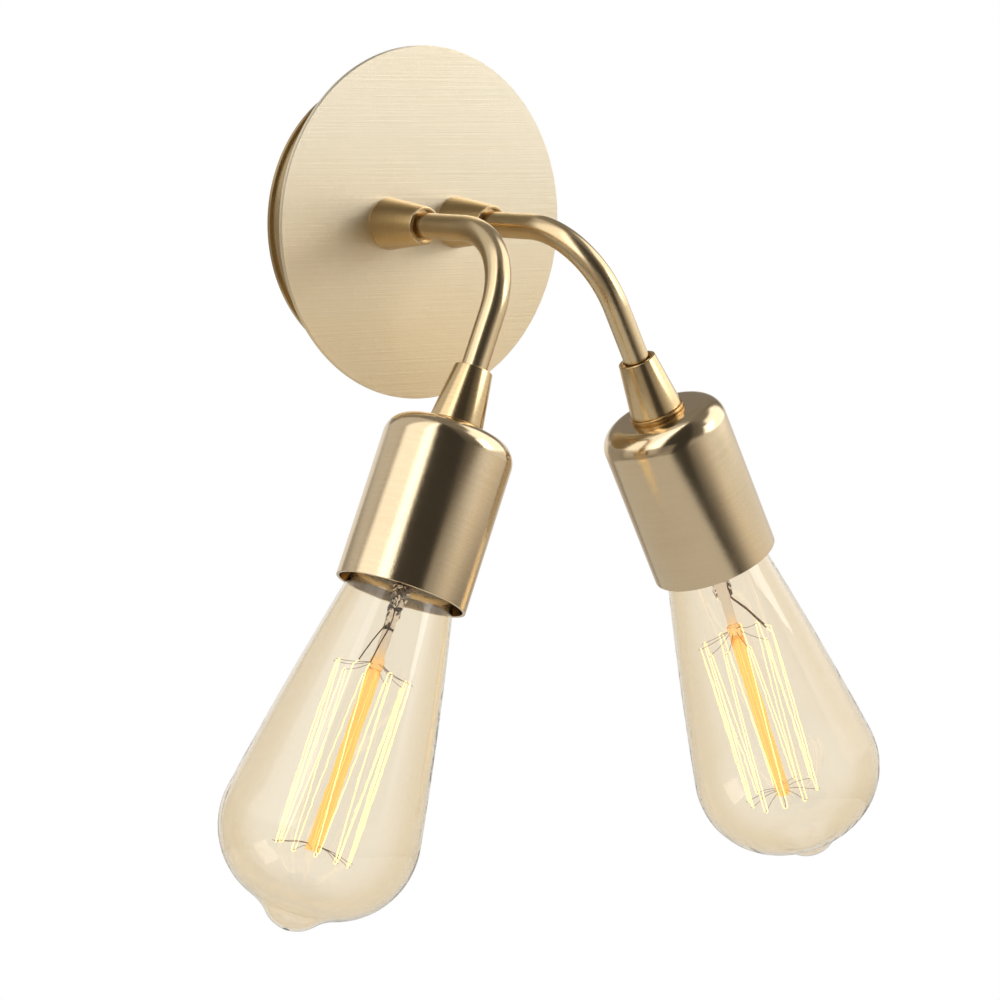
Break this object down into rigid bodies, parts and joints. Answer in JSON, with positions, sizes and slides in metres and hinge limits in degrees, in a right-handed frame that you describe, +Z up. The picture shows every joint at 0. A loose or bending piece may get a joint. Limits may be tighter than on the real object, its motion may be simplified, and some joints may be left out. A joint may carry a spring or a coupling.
{
  "type": "double arm wall light",
  "caption": "Wall light with a round canopy, two bent arms that swivel at the canopy, and a bulb in a metal cup on each arm.",
  "frame": {"origin": "centre of the canopy on the wall plane", "axes": "wall is the plane y = 0, the light stands out of it towards -Y, +X is right seen from the front, +Z is up"},
  "size_m": [0.2642, 0.1329, 0.2792],
  "materials": {
    "brushed_brass": "satin, fine horizontal brush lines",
    "satin_brass": "satin antique brass",
    "zinc_steel": "zinc plated",
    "terminal_plastic": "matte",
    "lead_insulation": "matte heat resisting sleeve",
    "holder_plastic": "moulded, half gloss",
    "contact_brass": "bright",
    "cap_brass": "rolled sheet",
    "cap_glass": "dark opaque glass",
    "solder": "dull solder",
    "amber_glass": "clear, pale amber",
    "stem_glass": "clear",
    "filament_wire": "glowing wire",
    "support_wire": "thin dark wire"
  },
  "bodies": {
    "canopy": {"canopy_drum": "brushed_brass", "canopy_face_plate": "brushed_brass", "canopy_leads": "lead_insulation", "canopy_side_screws": "satin_brass", "earth_screw": "zinc_steel", "left_canopy_cone": "satin_brass", "left_hollow_nipple": "zinc_steel", "left_swivel_washer": "zinc_steel", "nipple_locknuts": "zinc_steel", "nipple_washers": "zinc_steel", "right_canopy_cone": "satin_brass", "right_hollow_nipple": "zinc_steel", "right_swivel_washer": "zinc_steel", "terminal_block": "terminal_plastic", "terminal_block_screws": "zinc_steel", "wall_crossbar": "zinc_steel"},
    "left_arm": {"left_arm_leads": "lead_insulation", "left_arm_tube": "satin_brass", "left_centre_contact": "contact_brass", "left_cup_cone": "satin_brass", "left_cup_locknut": "zinc_steel", "left_cup_nipple": "zinc_steel", "left_cup_ring": "satin_brass", "left_lampholder_body": "holder_plastic", "left_lampholder_cup": "satin_brass", "left_screw_shell": "contact_brass", "left_swivel_collar": "satin_brass", "left_terminal_screws": "contact_brass"},
    "left_bulb": {"left_bulb_cap": "cap_brass", "left_bulb_filament": "filament_wire", "left_bulb_glass": "amber_glass", "left_bulb_lead_wires": "support_wire", "left_bulb_stem": "stem_glass", "left_cap_contact": "solder", "left_cap_insulator": "cap_glass", "left_support_wires": "support_wire"},
    "right_arm": {"right_arm_leads": "lead_insulation", "right_arm_tube": "satin_brass", "right_centre_contact": "contact_brass", "right_cup_cone": "satin_brass", "right_cup_locknut": "zinc_steel", "right_cup_nipple": "zinc_steel", "right_cup_ring": "satin_brass", "right_lampholder_body": "holder_plastic", "right_lampholder_cup": "satin_brass", "right_screw_shell": "contact_brass", "right_swivel_collar": "satin_brass", "right_terminal_screws": "contact_brass"},
    "right_bulb": {"right_bulb_cap": "cap_brass", "right_bulb_filament": "filament_wire", "right_bulb_glass": "amber_glass", "right_bulb_lead_wires": "support_wire", "right_bulb_stem": "stem_glass", "right_cap_contact": "solder", "right_cap_insulator": "cap_glass", "right_support_wires": "support_wire"}
  },
  "joints": [
    {"name": "left_arm_swivel", "type": "hinge", "parent": "canopy", "child": "left_arm", "pos_m": [-0.0145, 0, 0], "axis": [0, 1, 0], "range_deg": [-18.1, 148.9]},
    {"name": "right_arm_swivel", "type": "hinge", "parent": "canopy", "child": "right_arm", "pos_m": [0.0145, 0, 0], "axis": [0, -1, 0], "range_deg": [-19.3, 147.7]},
    {"name": "left_bulb_release", "type": "slide", "parent": "left_arm", "child": "left_bulb", "axis": [-0.4158, -0.0488, -0.9081], "range_m": [0, 0.035]},
    {"name": "right_bulb_release", "type": "slide", "parent": "right_arm", "child": "right_bulb", "axis": [0.4347, -0.0488, -0.8992], "range_m": [0, 0.035]}
  ]
}
